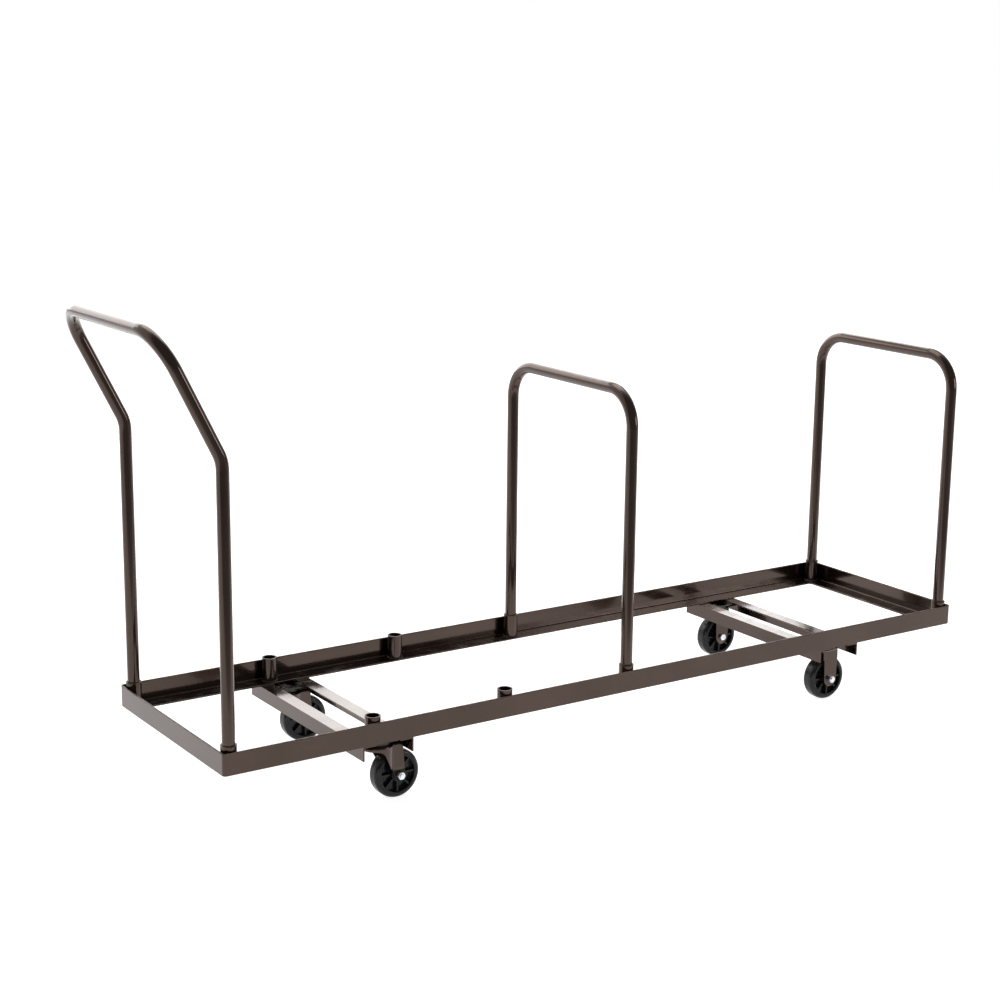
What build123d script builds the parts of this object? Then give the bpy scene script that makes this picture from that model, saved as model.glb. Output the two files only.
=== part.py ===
from build123d import *
import math
import os

os.makedirs("parts", exist_ok=True)

# A dolly for folded chairs: a welded angle tray on two swivel and two rigid casters, with a bent push handle
# at one end and two hoops that stand in sockets. X runs from the handle end to the nose end, Z is up from
# the floor, and the right side is -Y for someone pushing. Sizes are in millimetres.

# Tray frame, equal-leg steel angle with one leg standing outside and the other lying inwards as a shelf
frame_length = 1905.0
frame_width = 482.6
rail_leg = 44.45
rail_wall = 3.2
rail_root_radius = 2.0
rail_toe_radius = 1.2
frame_inner_corner_radius = 4.8

# Bent tube of the handle and the hoops, with heights above the rails' underside
tube_od = 25.4
tube_wall = 1.65
tube_bend_radius = 75.0
handle_bend_height = 595.0
handle_bar_height = 833.0
handle_lean = 26.7
hoop_bar_height = 638.0

# Socket tubes that stand on the shelf at even steps, in the angle's corner
socket_wall = 2.77
socket_clearance = 0.405
socket_length = 50.8
socket_root_gap = 0.1
station_steps = 6
empty_stations = (1, 2)
middle_station = 3

# Cross angles under the rails, in pairs with their legs hanging down on the outer sides
cross_leg = 30.0
cross_wall = 3.2
cross_span = 114.3
cross_inset = 355.6
cross_end_gap = 1.0
cross_root_radius = 2.0
cross_toe_radius = 1.2

# Casters: overall height from the top plate to the floor, and the middle's distance inside the rail's face
caster_height = 131.8
caster_inset = 48.0
plate_width = 63.5
plate_thickness = 4.0
plate_root_gap = 0.1
plate_corner_radius = 8.0
dish_depth = 6.0
dish_edge_radius = 1.5
fork_wall = 3.0
fork_bend_radius = 5.0

# Swivel fork: a round drum under the swivel, with flat legs running back from it to the axle
swivel_trail = 40.0
drum_radius = 33.0
drum_crease_radius = 3.0
crown_thickness = 4.0
skirt_height = 9.8
skirt_sweep_radius = 20.0
leg_front = -3.0
swivel_end_radius = 12.5
swing_gap = 2.0

# Swivel head: two ball rows either side of the fork's crown, clamped by the king pin
race_margin = 4.0
race_radius = 22.0
ball_diameter = 6.35
ball_count = 16
lower_race_radius = 11.5
lower_ball_diameter = 4.76
lower_ball_count = 12
ball_clearance = 0.05
race_gap = 2.0
king_pin_diameter = 12.7
king_pin_fit = 0.05
king_pin_head_diameter = 26.0
king_pin_head_height = 2.5
king_pin_foot_height = 3.5
king_pin_bore_clearance = 1.5

# Rigid fork legs
rigid_leg_width = 40.0
rigid_end_radius = 17.5

# Wheel and axle
wheel_diameter = 101.6
wheel_width = 31.8
tread_edge_radius = 9.0
rim_depth = 13.0
web_thickness = 9.0
hub_diameter = 30.0
hub_length = 38.0
hub_side_gap = 1.0
rib_count = 8
rib_thickness = 3.5
rib_set_back = 3.0
wheel_edge_radius = 1.5
bush_wall = 2.2
bush_clearance = 0.05
sleeve_wall = 1.6
axle_diameter = 9.5
axle_fit = 0.1
nut_flats = 14.3
nut_height = 8.2
bolt_head_height = 6.0
bolt_thread_past_nut = 2.0
hex_chamfer = 0.8

# Places worked out from the sizes above
rail_z = caster_height + cross_wall
shelf_z = rail_z + rail_wall
frame_corner_radius = frame_inner_corner_radius + rail_wall
socket_bore = tube_od + 2 * socket_clearance
socket_od = socket_bore + 2 * socket_wall
socket_inset = rail_wall + rail_root_radius + socket_root_gap + socket_od / 2
socket_y = frame_width / 2 - socket_inset
lean_run = (handle_bar_height - handle_bend_height) * math.tan(math.radians(handle_lean))
handle_reach = lean_run - socket_inset + tube_od / 2
frame_mid_x = handle_reach / 2
handle_end_x = frame_mid_x - frame_length / 2
nose_end_x = frame_mid_x + frame_length / 2
handle_x = handle_end_x + socket_inset
nose_x = nose_end_x - socket_inset
station_pitch = (nose_x - handle_x) / station_steps
middle_x = handle_x + middle_station * station_pitch
axle_z = wheel_diameter / 2
plate_length = cross_span - 2 * (cross_wall + cross_root_radius + plate_root_gap)
fork_inner = hub_length + 2 * hub_side_gap
fork_outer = fork_inner + 2 * fork_wall
axle_hole_radius = axle_diameter / 2 + axle_fit
sleeve_radius = axle_hole_radius + sleeve_wall
bush_inner_radius = sleeve_radius + bush_clearance
bush_outer_radius = bush_inner_radius + bush_wall
ball_groove_radius = ball_diameter / 2 + ball_clearance
lower_groove_radius = lower_ball_diameter / 2 + ball_clearance
dish_radius = race_radius + ball_diameter / 2 + race_margin
dish_z = caster_height - dish_depth
dish_under_z = dish_z - plate_thickness
crown_top_z = dish_under_z - race_gap
crown_under_z = crown_top_z - crown_thickness
ball_z = (dish_under_z + crown_top_z) / 2
foot_top_z = crown_under_z - race_gap
foot_under_z = foot_top_z - king_pin_foot_height
lower_ball_z = (crown_under_z + foot_top_z) / 2
swing_radius = cross_span / 2 - cross_wall - swing_gap
crown_tail = math.sqrt(swing_radius**2 - (fork_outer / 2) ** 2)

nodes = {}


# Tray rails, cut at the corner mitres from one ring of angle
def tray_ring():
    outline = RectangleRounded(frame_length, frame_width, frame_corner_radius)
    web_inside = RectangleRounded(
        frame_length - 2 * rail_wall, frame_width - 2 * rail_wall, frame_inner_corner_radius
    )
    shelf_inside = Rectangle(frame_length - 2 * rail_leg, frame_width - 2 * rail_leg)
    ring = extrude(outline - web_inside, rail_leg) + extrude(outline - shelf_inside, rail_wall)
    shelf_top = ring.faces().filter_by(Axis.Z).sort_by(Axis.Z)[1]
    ring = fillet(shelf_top.outer_wire().edges(), rail_root_radius)
    shelf_top, web_top = ring.faces().filter_by(Axis.Z).sort_by(Axis.Z)[1:]
    toe_edges = shelf_top.inner_wires()[0].edges() + web_top.inner_wires()[0].edges()
    return fillet(toe_edges, rail_toe_radius)


def mitred_sector(points):
    return extrude(make_face(Polyline(*points, close=True)), rail_leg)


half_length = frame_length / 2
half_width = frame_width / 2
ring = tray_ring()
place = Pos(frame_mid_x, 0, rail_z)
for side, sign in (("right", -1), ("left", 1)):
    corners = (
        (-half_length, sign * half_width),
        (half_length, sign * half_width),
        (half_length - half_width, 0),
        (half_width - half_length, 0),
    )
    nodes[side + "_side_rail"] = place * (ring & mitred_sector(corners))
for end, sign in (("handle", -1), ("nose", 1)):
    corners = (
        (sign * half_length, -half_width),
        (sign * half_length, half_width),
        (sign * (half_length - half_width), 0),
    )
    nodes[end + "_end_rail"] = place * (ring & mitred_sector(corners))


# Cross angles, welded under the rails
def cross_angle(direction):
    flange = Pos(direction * cross_leg / 2, -cross_wall / 2) * Rectangle(cross_leg, cross_wall)
    leg = Pos(direction * cross_wall / 2, -cross_leg / 2) * Rectangle(cross_wall, cross_leg)
    section = flange + leg
    root = section.vertices().sort_by_distance((direction * cross_wall, -cross_wall))[0]
    section = fillet(root, cross_root_radius)
    flange_toe = section.vertices().sort_by_distance((direction * cross_leg, -cross_wall))[0]
    leg_toe = section.vertices().sort_by_distance((direction * cross_wall, -cross_leg))[0]
    section = fillet([flange_toe, leg_toe], cross_toe_radius)
    length = frame_width - 2 * cross_end_gap
    return extrude(Plane.XZ * section, length / 2, both=True)


handle_pair_x = handle_end_x + cross_inset
nose_pair_x = nose_end_x - cross_inset
for end, pair_x, outward in (("handle", handle_pair_x, -1), ("nose", nose_pair_x, 1)):
    for place_name, direction in (("outer", outward), ("inner", -outward)):
        face_x = pair_x + direction * cross_span / 2
        nodes[end + "_cross_angle_" + place_name] = Pos(face_x, 0, rail_z) * cross_angle(-direction)

# Socket tubes, welded upright on the shelf
socket_section = Circle(socket_od / 2) - Circle(socket_bore / 2)
socket = extrude(socket_section, socket_length)
station_names = {0: "handle_socket", middle_station: "middle_socket", station_steps: "nose_socket"}
for station in empty_stations:
    station_names[station] = "socket_" + str(station)
for station, name in station_names.items():
    for side, sign in (("right", -1), ("left", 1)):
        station_x = handle_x + station * station_pitch
        nodes[side + "_" + name] = Pos(station_x, sign * socket_y, shelf_z) * socket


# Push handle and hoops, each one length of bent tube standing on the shelf inside its sockets
def bent_tube(points):
    path = FilletPolyline(*points, radius=tube_bend_radius)
    section = Circle(tube_od / 2) - Circle(tube_od / 2 - tube_wall)
    return sweep(Plane(origin=path @ 0, z_dir=path % 0) * section, path=path)


bar_x = handle_x - lean_run
handle_side = (
    (handle_x, shelf_z),
    (handle_x, rail_z + handle_bend_height),
    (bar_x, rail_z + handle_bar_height),
)
right_leg = [(x, -socket_y, z) for x, z in handle_side]
left_leg = [(x, socket_y, z) for x, z in reversed(handle_side)]
nodes["push_handle"] = bent_tube(right_leg + left_leg)


def hoop(x):
    top = rail_z + hoop_bar_height
    return bent_tube(
        [(x, -socket_y, shelf_z), (x, -socket_y, top), (x, socket_y, top), (x, socket_y, shelf_z)]
    )


nodes["middle_hoop"] = hoop(middle_x)
nodes["nose_hoop"] = hoop(nose_x)


# Wheel, turned about Y: a rounded tread and a deep rim on a thin web, with ribs from hub to rim
def wheel():
    radius = wheel_diameter / 2
    rim_inner = radius - rim_depth
    rim = Pos(radius - rim_depth / 2, 0) * Rectangle(rim_depth, wheel_width)
    rim = fillet(rim.vertices().group_by(Axis.X)[-1], tread_edge_radius)
    hub_wall = hub_diameter / 2 - bush_outer_radius
    hub = Pos(bush_outer_radius + hub_wall / 2, 0) * Rectangle(hub_wall, hub_length)
    web_length = rim_inner - bush_outer_radius
    web = Pos(bush_outer_radius + web_length / 2, 0) * Rectangle(web_length, web_thickness)
    section = rim + hub + web
    rim_edges = section.vertices().filter_by_position(Axis.X, rim_inner, rim_inner)
    hub_edges = section.vertices().filter_by_position(Axis.X, hub_diameter / 2, hub_diameter / 2)
    section = fillet(rim_edges + hub_edges, wheel_edge_radius)
    body = revolve(section, Axis.Y)
    rib_reach = rim_inner - hub_diameter / 2 + 2 * wheel_edge_radius
    rib = Box(rib_reach, wheel_width - 2 * rib_set_back, rib_thickness)
    rib = Pos((rim_inner + hub_diameter / 2) / 2, 0, 0) * rib
    for step in range(rib_count):
        body += Rot(0, step * 360 / rib_count, 0) * rib
    return body


def turned_about_y(outer_radius, inner_radius, length):
    ring_section = Circle(outer_radius) - Circle(inner_radius)
    return extrude(Plane.XZ * ring_section, length / 2, both=True)


# A hexagon with its corners turned off on one face, standing on Y = 0 and growing towards -Y
def hexagon(height):
    corner_radius = nut_flats / math.sqrt(3)
    prism = extrude(Plane.XZ * RegularPolygon(corner_radius, 6), height)
    blank = extrude(Plane.XZ * Circle(corner_radius), height)
    blank = chamfer(blank.edges().sort_by(Axis.Y)[0], hex_chamfer)
    return prism & blank


# The running gear of one wheel, with its axle along Y at the origin and the nut outwards, at -Y
def running_gear():
    half = fork_outer / 2
    nut = hexagon(nut_height) - extrude(Plane.XZ * Circle(axle_hole_radius), nut_height)
    head = Rot(0, 0, 180) * hexagon(bolt_head_height)
    shank_length = fork_outer + nut_height + bolt_thread_past_nut
    shank = extrude(Plane.XZ * Circle(axle_diameter / 2), shank_length)
    return {
        "axle_bolt": Pos(0, half, 0) * (head + shank),
        "axle_nut": Pos(0, -half, 0) * nut,
        "axle_sleeve": turned_about_y(sleeve_radius, axle_hole_radius, fork_inner),
        "bush": turned_about_y(bush_outer_radius, bush_inner_radius, hub_length),
        "wheel": wheel(),
    }


# A top plate with a round dish pressed down in its middle
def top_plate():
    outline = RectangleRounded(plate_length, plate_width, plate_corner_radius)
    plate = Pos(0, 0, caster_height) * extrude(outline, -plate_thickness)
    dish = Pos(0, 0, dish_under_z) * extrude(Circle(dish_radius), dish_depth + plate_thickness)
    hollow_radius = dish_radius - plate_thickness
    hollow = Pos(0, 0, dish_z) * extrude(Circle(hollow_radius), dish_depth)
    plate = plate + dish - hollow
    arcs = plate.edges().filter_by(GeomType.CIRCLE)
    return fillet([arc for arc in arcs if arc.radius > plate_corner_radius], dish_edge_radius)


# The round groove that a row of balls runs in
def ball_groove(row_radius, groove_radius, z):
    section = Plane.XZ * Pos(row_radius, z) * Circle(groove_radius)
    return revolve(section, Axis.Z)


def ball_row(row_radius, diameter, count, z):
    ball = Sphere(diameter / 2)
    turns = [math.tau * step / count for step in range(count)]
    places = [(row_radius * math.cos(turn), row_radius * math.sin(turn), z) for turn in turns]
    return Compound(children=[Pos(*place) * ball for place in places])


# A plan shape carried up to a crown, with its top edge rounded except across the open back
def crowned_block(plan, top_z, edge_radius):
    block = extrude(plan, top_z)
    rim = block.faces().sort_by(Axis.Z)[-1].edges()
    back = rim.filter_by(Axis.Y).sort_by(Axis.X)[-1]
    return fillet([edge for edge in rim if edge != back], edge_radius)


# The swivel fork's plan: the drum and, behind it, the legs, with a rounded crease where they meet
def fork_plan(radius, width, back_x, crease_radius):
    legs = Rectangle(back_x, width, align=(Align.MIN, Align.CENTER))
    plan = Circle(radius) + legs
    crease_x = math.sqrt(radius**2 - (width / 2) ** 2)
    creases = [
        plan.vertices().sort_by_distance((crease_x, sign * width / 2))[0] for sign in (-1, 1)
    ]
    return fillet(creases, crease_radius)


# The swivel fork's side view: a shallow skirt round the drum, swept down into the legs
def fork_side():
    skirt_z = crown_top_z - skirt_height
    axle = Pos(swivel_trail, axle_z) * Circle(swivel_end_radius)
    leg_top = Polyline(
        (leg_front, skirt_z), (crown_tail, crown_top_z), (leg_front, crown_top_z), close=True
    )
    leg = make_hull(axle.edges() + leg_top.edges())
    skirt = Rectangle(drum_radius + leg_front, skirt_height, align=(Align.MIN, Align.MAX))
    side = leg + Pos(-drum_radius, crown_top_z) * skirt
    sweep_corner = side.vertices().sort_by_distance((leg_front, skirt_z))[0]
    return fillet(sweep_corner, skirt_sweep_radius)


def swivel_fork():
    back_x = swivel_trail + 2 * swivel_end_radius
    inner_radius = drum_radius - fork_wall
    inner_crease = drum_crease_radius + fork_wall
    outside = crowned_block(
        fork_plan(drum_radius, fork_outer, back_x, drum_crease_radius), crown_top_z, fork_bend_radius
    )
    inside = crowned_block(
        fork_plan(inner_radius, fork_inner, back_x, inner_crease), crown_under_z, fork_bend_radius - fork_wall
    )
    side = extrude(Plane.XZ * fork_side(), drum_radius, both=True)
    return (outside - inside) & side


def axle_drill(axle_x):
    return extrude(Plane.XZ * Pos(axle_x, axle_z) * Circle(axle_hole_radius), fork_outer, both=True)


# Swivel caster about its own upright axis, with the wheel trailing towards +X
def swivel_caster():
    upper_groove = ball_groove(race_radius, ball_groove_radius, ball_z)
    lower_groove = ball_groove(lower_race_radius, lower_groove_radius, lower_ball_z)
    pin_radius = king_pin_diameter / 2

    pin_hole = Pos(0, 0, dish_under_z) * extrude(Circle(pin_radius + king_pin_fit), plate_thickness)
    plate = top_plate() - pin_hole - upper_groove

    head = Pos(0, 0, dish_z) * extrude(Circle(king_pin_head_diameter / 2), king_pin_head_height)
    head = fillet(head.edges().sort_by(Axis.Z)[-1], king_pin_head_height / 2)
    shank = Pos(0, 0, foot_under_z) * extrude(Circle(pin_radius), dish_z - foot_under_z)
    foot_radius = lower_race_radius + lower_ball_diameter
    foot = Pos(0, 0, foot_under_z) * extrude(Circle(foot_radius), king_pin_foot_height)
    king_pin = head + shank + foot - lower_groove

    bore_radius = pin_radius + king_pin_bore_clearance
    crown_bore = Pos(0, 0, crown_under_z) * extrude(Circle(bore_radius), crown_thickness)
    fork = swivel_fork() - axle_drill(swivel_trail) - crown_bore - upper_groove - lower_groove

    pieces = {
        "swivel_plate": plate,
        "king_pin": king_pin,
        "upper_balls": ball_row(race_radius, ball_diameter, ball_count, ball_z),
        "lower_balls": ball_row(lower_race_radius, lower_ball_diameter, lower_ball_count, lower_ball_z),
        "swivel_fork": fork,
    }
    for name, piece in running_gear().items():
        pieces["swivel_" + name] = Pos(swivel_trail, 0, axle_z) * piece
    return pieces


# Rigid fork, a strap bent into a U and welded under the dish, with straight legs
def rigid_fork():
    axle = Pos(0, axle_z) * Circle(rigid_end_radius)
    strap = Rectangle(rigid_leg_width, rigid_end_radius, align=(Align.CENTER, Align.MAX))
    side = make_hull((Pos(0, dish_under_z) * strap).edges() + axle.edges())
    outside = extrude(Plane.XZ * side, fork_outer / 2, both=True)
    outside = fillet(outside.edges().filter_by(Axis.X).group_by(Axis.Z)[-1], fork_bend_radius)
    inside_top_z = dish_under_z - fork_wall
    inside = Pos(0, 0, inside_top_z / 2) * Box(plate_length, fork_inner, inside_top_z)
    inside = fillet(inside.edges().filter_by(Axis.X).group_by(Axis.Z)[-1], fork_bend_radius - fork_wall)
    return outside - inside - axle_drill(0)


def rigid_caster():
    pieces = {"rigid_plate": top_plate(), "rigid_fork": rigid_fork()}
    for name, piece in running_gear().items():
        pieces["rigid_" + name] = Pos(0, 0, axle_z) * piece
    return pieces


caster_y = frame_width / 2 - caster_inset
for caster_x, pieces in ((handle_pair_x, swivel_caster()), (nose_pair_x, rigid_caster())):
    for name, piece in pieces.items():
        nodes["right_" + name] = Pos(caster_x, -caster_y, 0) * piece
        nodes["left_" + name] = Pos(caster_x, caster_y, 0) * mirror(piece, about=Plane.XZ)

for name, shape in nodes.items():
    export_step(shape, "parts/" + name + ".step")
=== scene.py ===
import math

import bpy
from mathutils import Matrix, Vector


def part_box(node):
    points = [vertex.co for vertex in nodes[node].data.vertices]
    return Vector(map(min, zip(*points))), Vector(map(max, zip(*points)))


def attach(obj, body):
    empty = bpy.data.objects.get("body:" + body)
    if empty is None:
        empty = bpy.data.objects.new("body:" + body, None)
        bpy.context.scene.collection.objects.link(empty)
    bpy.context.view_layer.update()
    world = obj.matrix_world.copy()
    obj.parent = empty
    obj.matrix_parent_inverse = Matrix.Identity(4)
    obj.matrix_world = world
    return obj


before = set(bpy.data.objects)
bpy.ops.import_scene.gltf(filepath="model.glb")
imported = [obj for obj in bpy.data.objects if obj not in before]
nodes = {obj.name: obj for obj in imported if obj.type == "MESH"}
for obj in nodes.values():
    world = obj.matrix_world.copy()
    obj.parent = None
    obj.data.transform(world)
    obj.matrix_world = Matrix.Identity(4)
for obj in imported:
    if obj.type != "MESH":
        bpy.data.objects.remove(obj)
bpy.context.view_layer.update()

# The camera stands off the right corner of the handle end and looks along the tray, a little down. It has
# a plain perspective lens with no shift, fitted to the tray's edges in a picture 1000 pixels square.
picture_width = 1000
focal_pixels = 1959.4
camera_place = (-2.3828, -3.3762, 1.4664)
camera_turn = math.radians(33.78)
camera_dip = math.radians(13.06)
camera_roll = math.radians(0.62)
lens = bpy.data.cameras.new("photo_lens")
lens.sensor_width = 36
lens.lens = focal_pixels / picture_width * lens.sensor_width
lens.clip_end = 100
camera = bpy.data.objects.new("photo_camera", lens)
bpy.context.scene.collection.objects.link(camera)
camera.matrix_world = (
    Matrix.Translation(camera_place)
    @ Matrix.Rotation(-camera_turn, 4, "Z")
    @ Matrix.Rotation(math.radians(90) - camera_dip, 4, "X")
    @ Matrix.Rotation(camera_roll, 4, "Z")
)
bpy.context.scene.camera = camera
bpy.context.scene.view_settings.view_transform = "Standard"

# The studio is a sheet of white paper that runs back into a white room, with soft boxes behind, above and
# in front. The lens sees white all round. The painted steel mirrors that white and the soft boxes, and a
# dim studio on the lens's side, where the paper runs out near the lower edge of the picture.
room_fill = 0.22
dim_room_y = -0.2
white_room_y = 0.3
floor_half = 14.0
floor_colour = (0.8, 0.8, 0.8, 1)
floor_lift = 0.86
paper_end_y = -1.25
full_paper_y = -0.75


def feed(tree, socket, value):
    if isinstance(value, bpy.types.NodeSocket):
        tree.links.new(value, socket)
    else:
        socket.default_value = value


def math_node(tree, operation, first, second):
    step = tree.nodes.new("ShaderNodeMath")
    step.operation = operation
    feed(tree, step.inputs[0], first)
    feed(tree, step.inputs[1], second)
    return step.outputs["Value"]


def split(tree, vector):
    step = tree.nodes.new("ShaderNodeSeparateXYZ")
    feed(tree, step.inputs["Vector"], vector)
    return step.outputs


def ramp(tree, value, low, high, low_result, high_result):
    step = tree.nodes.new("ShaderNodeMapRange")
    step.interpolation_type = "SMOOTHSTEP"
    feed(tree, step.inputs["Value"], value)
    feed(tree, step.inputs["From Min"], low)
    feed(tree, step.inputs["From Max"], high)
    feed(tree, step.inputs["To Min"], low_result)
    feed(tree, step.inputs["To Max"], high_result)
    return step.outputs["Result"]


def ray_masks(tree):
    path = tree.nodes.new("ShaderNodeLightPath")
    shiny = math_node(
        tree, "MAXIMUM", path.outputs["Is Glossy Ray"], path.outputs["Is Transmission Ray"]
    )
    return path.outputs["Is Camera Ray"], shiny


world = bpy.data.worlds.new("white_room")
world.use_nodes = True
room = world.node_tree
background = room.nodes["Background"]
background.inputs["Color"].default_value = (1, 1, 1, 1)
to_lens, to_shine = ray_masks(room)
room_look = room.nodes.new("ShaderNodeTexCoord").outputs["Generated"]
mirrored_room = ramp(room, split(room, room_look)["Y"], dim_room_y, white_room_y, room_fill, 1)
mirrored_room = math_node(room, "MULTIPLY", mirrored_room, to_shine)
seen_room = math_node(room, "MAXIMUM", to_lens, mirrored_room)
room.links.new(math_node(room, "MAXIMUM", seen_room, room_fill), background.inputs["Strength"])
bpy.context.scene.world = world

floor_mesh = bpy.data.meshes.new("studio_floor")
floor_corners = [(x * floor_half, y * floor_half, 0) for x, y in ((-1, -1), (1, -1), (1, 1), (-1, 1))]
floor_mesh.from_pydata(floor_corners, [], [(0, 1, 2, 3)])
floor = bpy.data.objects.new("studio_floor", floor_mesh)
bpy.context.scene.collection.objects.link(floor)
floor_paper = bpy.data.materials.new("floor_paper")
floor_paper.use_nodes = True
paper = floor_paper.node_tree
paper_skin = paper.nodes["Principled BSDF"]
paper_skin.inputs["Base Color"].default_value = floor_colour
paper_skin.inputs["Roughness"].default_value = 1
paper_skin.inputs["Specular IOR Level"].default_value = 0
paper_skin.inputs["Emission Color"].default_value = (1, 1, 1, 1)
to_lens, to_shine = ray_masks(paper)
paper_place = paper.nodes.new("ShaderNodeTexCoord").outputs["Object"]
mirrored_paper = ramp(paper, split(paper, paper_place)["Y"], paper_end_y, full_paper_y, 0, 1)
mirrored_paper = math_node(paper, "MULTIPLY", mirrored_paper, to_shine)
seen_paper = math_node(paper, "MAXIMUM", to_lens, mirrored_paper)
paper_glow = math_node(paper, "MULTIPLY", seen_paper, floor_lift)
paper.links.new(paper_glow, paper_skin.inputs["Emission Strength"])
floor_mesh.materials.append(floor_paper)


def soft_box(name, place, aim, width, height, radiance):
    light = bpy.data.lights.new(name, "AREA")
    light.shape = "RECTANGLE"
    light.size = width
    light.size_y = height
    light.energy = radiance * math.pi * width * height
    lamp = bpy.data.objects.new(name, light)
    bpy.context.scene.collection.objects.link(lamp)
    lamp.location = place
    toward = Vector(aim) - Vector(place)
    lamp.rotation_euler = toward.to_track_quat("-Z", "Y").to_euler()
    lamp.visible_camera = False


soft_box("back_soft_box", (0.6, 4.4, 2.5), aim=(0, 0, 0.4), width=8.0, height=3.4, radiance=2.2)
soft_box("top_soft_box", (0.2, 1.0, 3.4), aim=(0, 0, 0), width=3.2, height=1.6, radiance=2.0)
soft_box("front_soft_box", (3.4, -3.4, 1.2), aim=(0.6, 0, 0.2), width=1.4, height=1.4, radiance=5.0)

# The tray is four lengths of steel angle, mitred and welded at the corners with one leg standing outside,
# then sprayed all over with dark brown enamel that has fine metal flake in it. A load slid in and out rubs
# the top edge, and the long faces pick up fine scuffs.
rail_low, rail_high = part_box("right_side_rail")
rail_leg = rail_high.z - rail_low.z
rail_wall = 0.0032
shelf_z = rail_low.z + rail_wall
enamel_bright = (0.068, 0.041, 0.031, 1)
enamel_deep = (0.046, 0.027, 0.02, 1)
enamel_rubbed = (0.16, 0.125, 0.1, 1)
enamel_coat = 0.4
dust_colour = (0.42, 0.39, 0.35, 1)
dust_amount = 0.22
dust_roughness = 0.8
scuff_amount = 0.35
rub_strength = 0.6
edge_dulling = 0.85
dulled_roughness = 0.4
spray_peel = 420
along_scuffs = (9, 700, 900)
across_scuffs = (700, 9, 900)
top_rub_reach = 0.0035


def vector_node(tree, operation, first, second, result):
    step = tree.nodes.new("ShaderNodeVectorMath")
    step.operation = operation
    feed(tree, step.inputs[0], first)
    feed(tree, step.inputs[1], second)
    return step.outputs[result]


def mix_colour(tree, mask, under, over):
    step = tree.nodes.new("ShaderNodeMix")
    step.data_type = "RGBA"
    feed(tree, step.inputs[0], mask)
    feed(tree, step.inputs[6], under)
    feed(tree, step.inputs[7], over)
    return step.outputs[2]


def noise(tree, place, scale, detail):
    step = tree.nodes.new("ShaderNodeTexNoise")
    feed(tree, step.inputs["Vector"], place)
    feed(tree, step.inputs["Scale"], scale)
    step.inputs["Detail"].default_value = detail
    return step.outputs["Fac"]


def shader_group(name, inputs, outputs):
    group = bpy.data.node_groups.new(name, "ShaderNodeTree")
    for label, kind in inputs.items():
        group.interface.new_socket(label, in_out="INPUT", socket_type="NodeSocket" + kind)
    for label, kind in outputs.items():
        group.interface.new_socket(label, in_out="OUTPUT", socket_type="NodeSocket" + kind)
    source = group.nodes.new("NodeGroupInput").outputs
    sink = group.nodes.new("NodeGroupOutput").inputs
    return group, source, sink


def place_group(tree, group, settings):
    step = tree.nodes.new("ShaderNodeGroup")
    step.node_tree = group
    for label, value in settings.items():
        feed(tree, step.inputs[label], value)
    return step.outputs


# Sprayed enamel: slow drift in tone, fine grit, single flakes, and the orange peel of the spray
drift_scale = 7
grit_scale = 380
flake_scale = 2400
grit_share = 0.2
flake_share = 0.3
grit_roughness = 0.03
flaked_enamel, source, sink = shader_group(
    "flaked_enamel",
    {"Place": "Vector", "Bright Tone": "Color", "Deep Tone": "Color", "Peel Scale": "Float"},
    {"Colour": "Color", "Roughness": "Float", "Height": "Float"},
)
drift = noise(flaked_enamel, source["Place"], drift_scale, 3)
grit = noise(flaked_enamel, source["Place"], grit_scale, 2)
flake = flaked_enamel.nodes.new("ShaderNodeTexVoronoi")
flaked_enamel.links.new(source["Place"], flake.inputs["Vector"])
flake.inputs["Scale"].default_value = flake_scale
flake_tone = split(flaked_enamel, flake.outputs["Color"])["X"]
tone = math_node(flaked_enamel, "ADD", drift, math_node(flaked_enamel, "MULTIPLY", grit, grit_share))
flake_tone = math_node(flaked_enamel, "MULTIPLY", flake_tone, flake_share)
tone = math_node(flaked_enamel, "ADD", tone, flake_tone)
tone = ramp(flaked_enamel, tone, 0.35, 1.15, 0, 1)
flaked_enamel.links.new(
    mix_colour(flaked_enamel, tone, source["Deep Tone"], source["Bright Tone"]), sink["Colour"]
)
flaked_enamel.links.new(
    math_node(
        flaked_enamel, "ADD", ramp(flaked_enamel, drift, 0.3, 0.7, 0.12, 0.18),
        math_node(flaked_enamel, "MULTIPLY", grit, grit_roughness),
    ),
    sink["Roughness"],
)
flaked_enamel.links.new(noise(flaked_enamel, source["Place"], source["Peel Scale"], 2), sink["Height"])

# Dust that has settled in patches on faces that look up
patch_scale = 30
settled_dust, source, sink = shader_group(
    "settled_dust", {"Place": "Vector", "Amount": "Float"}, {"Mask": "Float"}
)
facing = settled_dust.nodes.new("ShaderNodeTexCoord").outputs["Normal"]
looks_up = ramp(settled_dust, split(settled_dust, facing)["Z"], 0.55, 0.98, 0, 1)
patches = noise(settled_dust, source["Place"], patch_scale, 6)
patches = ramp(settled_dust, patches, 0.42, 0.72, 0, 1)
settled = math_node(settled_dust, "MULTIPLY", looks_up, patches)
settled_dust.links.new(math_node(settled_dust, "MULTIPLY", settled, source["Amount"]), sink["Mask"])

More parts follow.
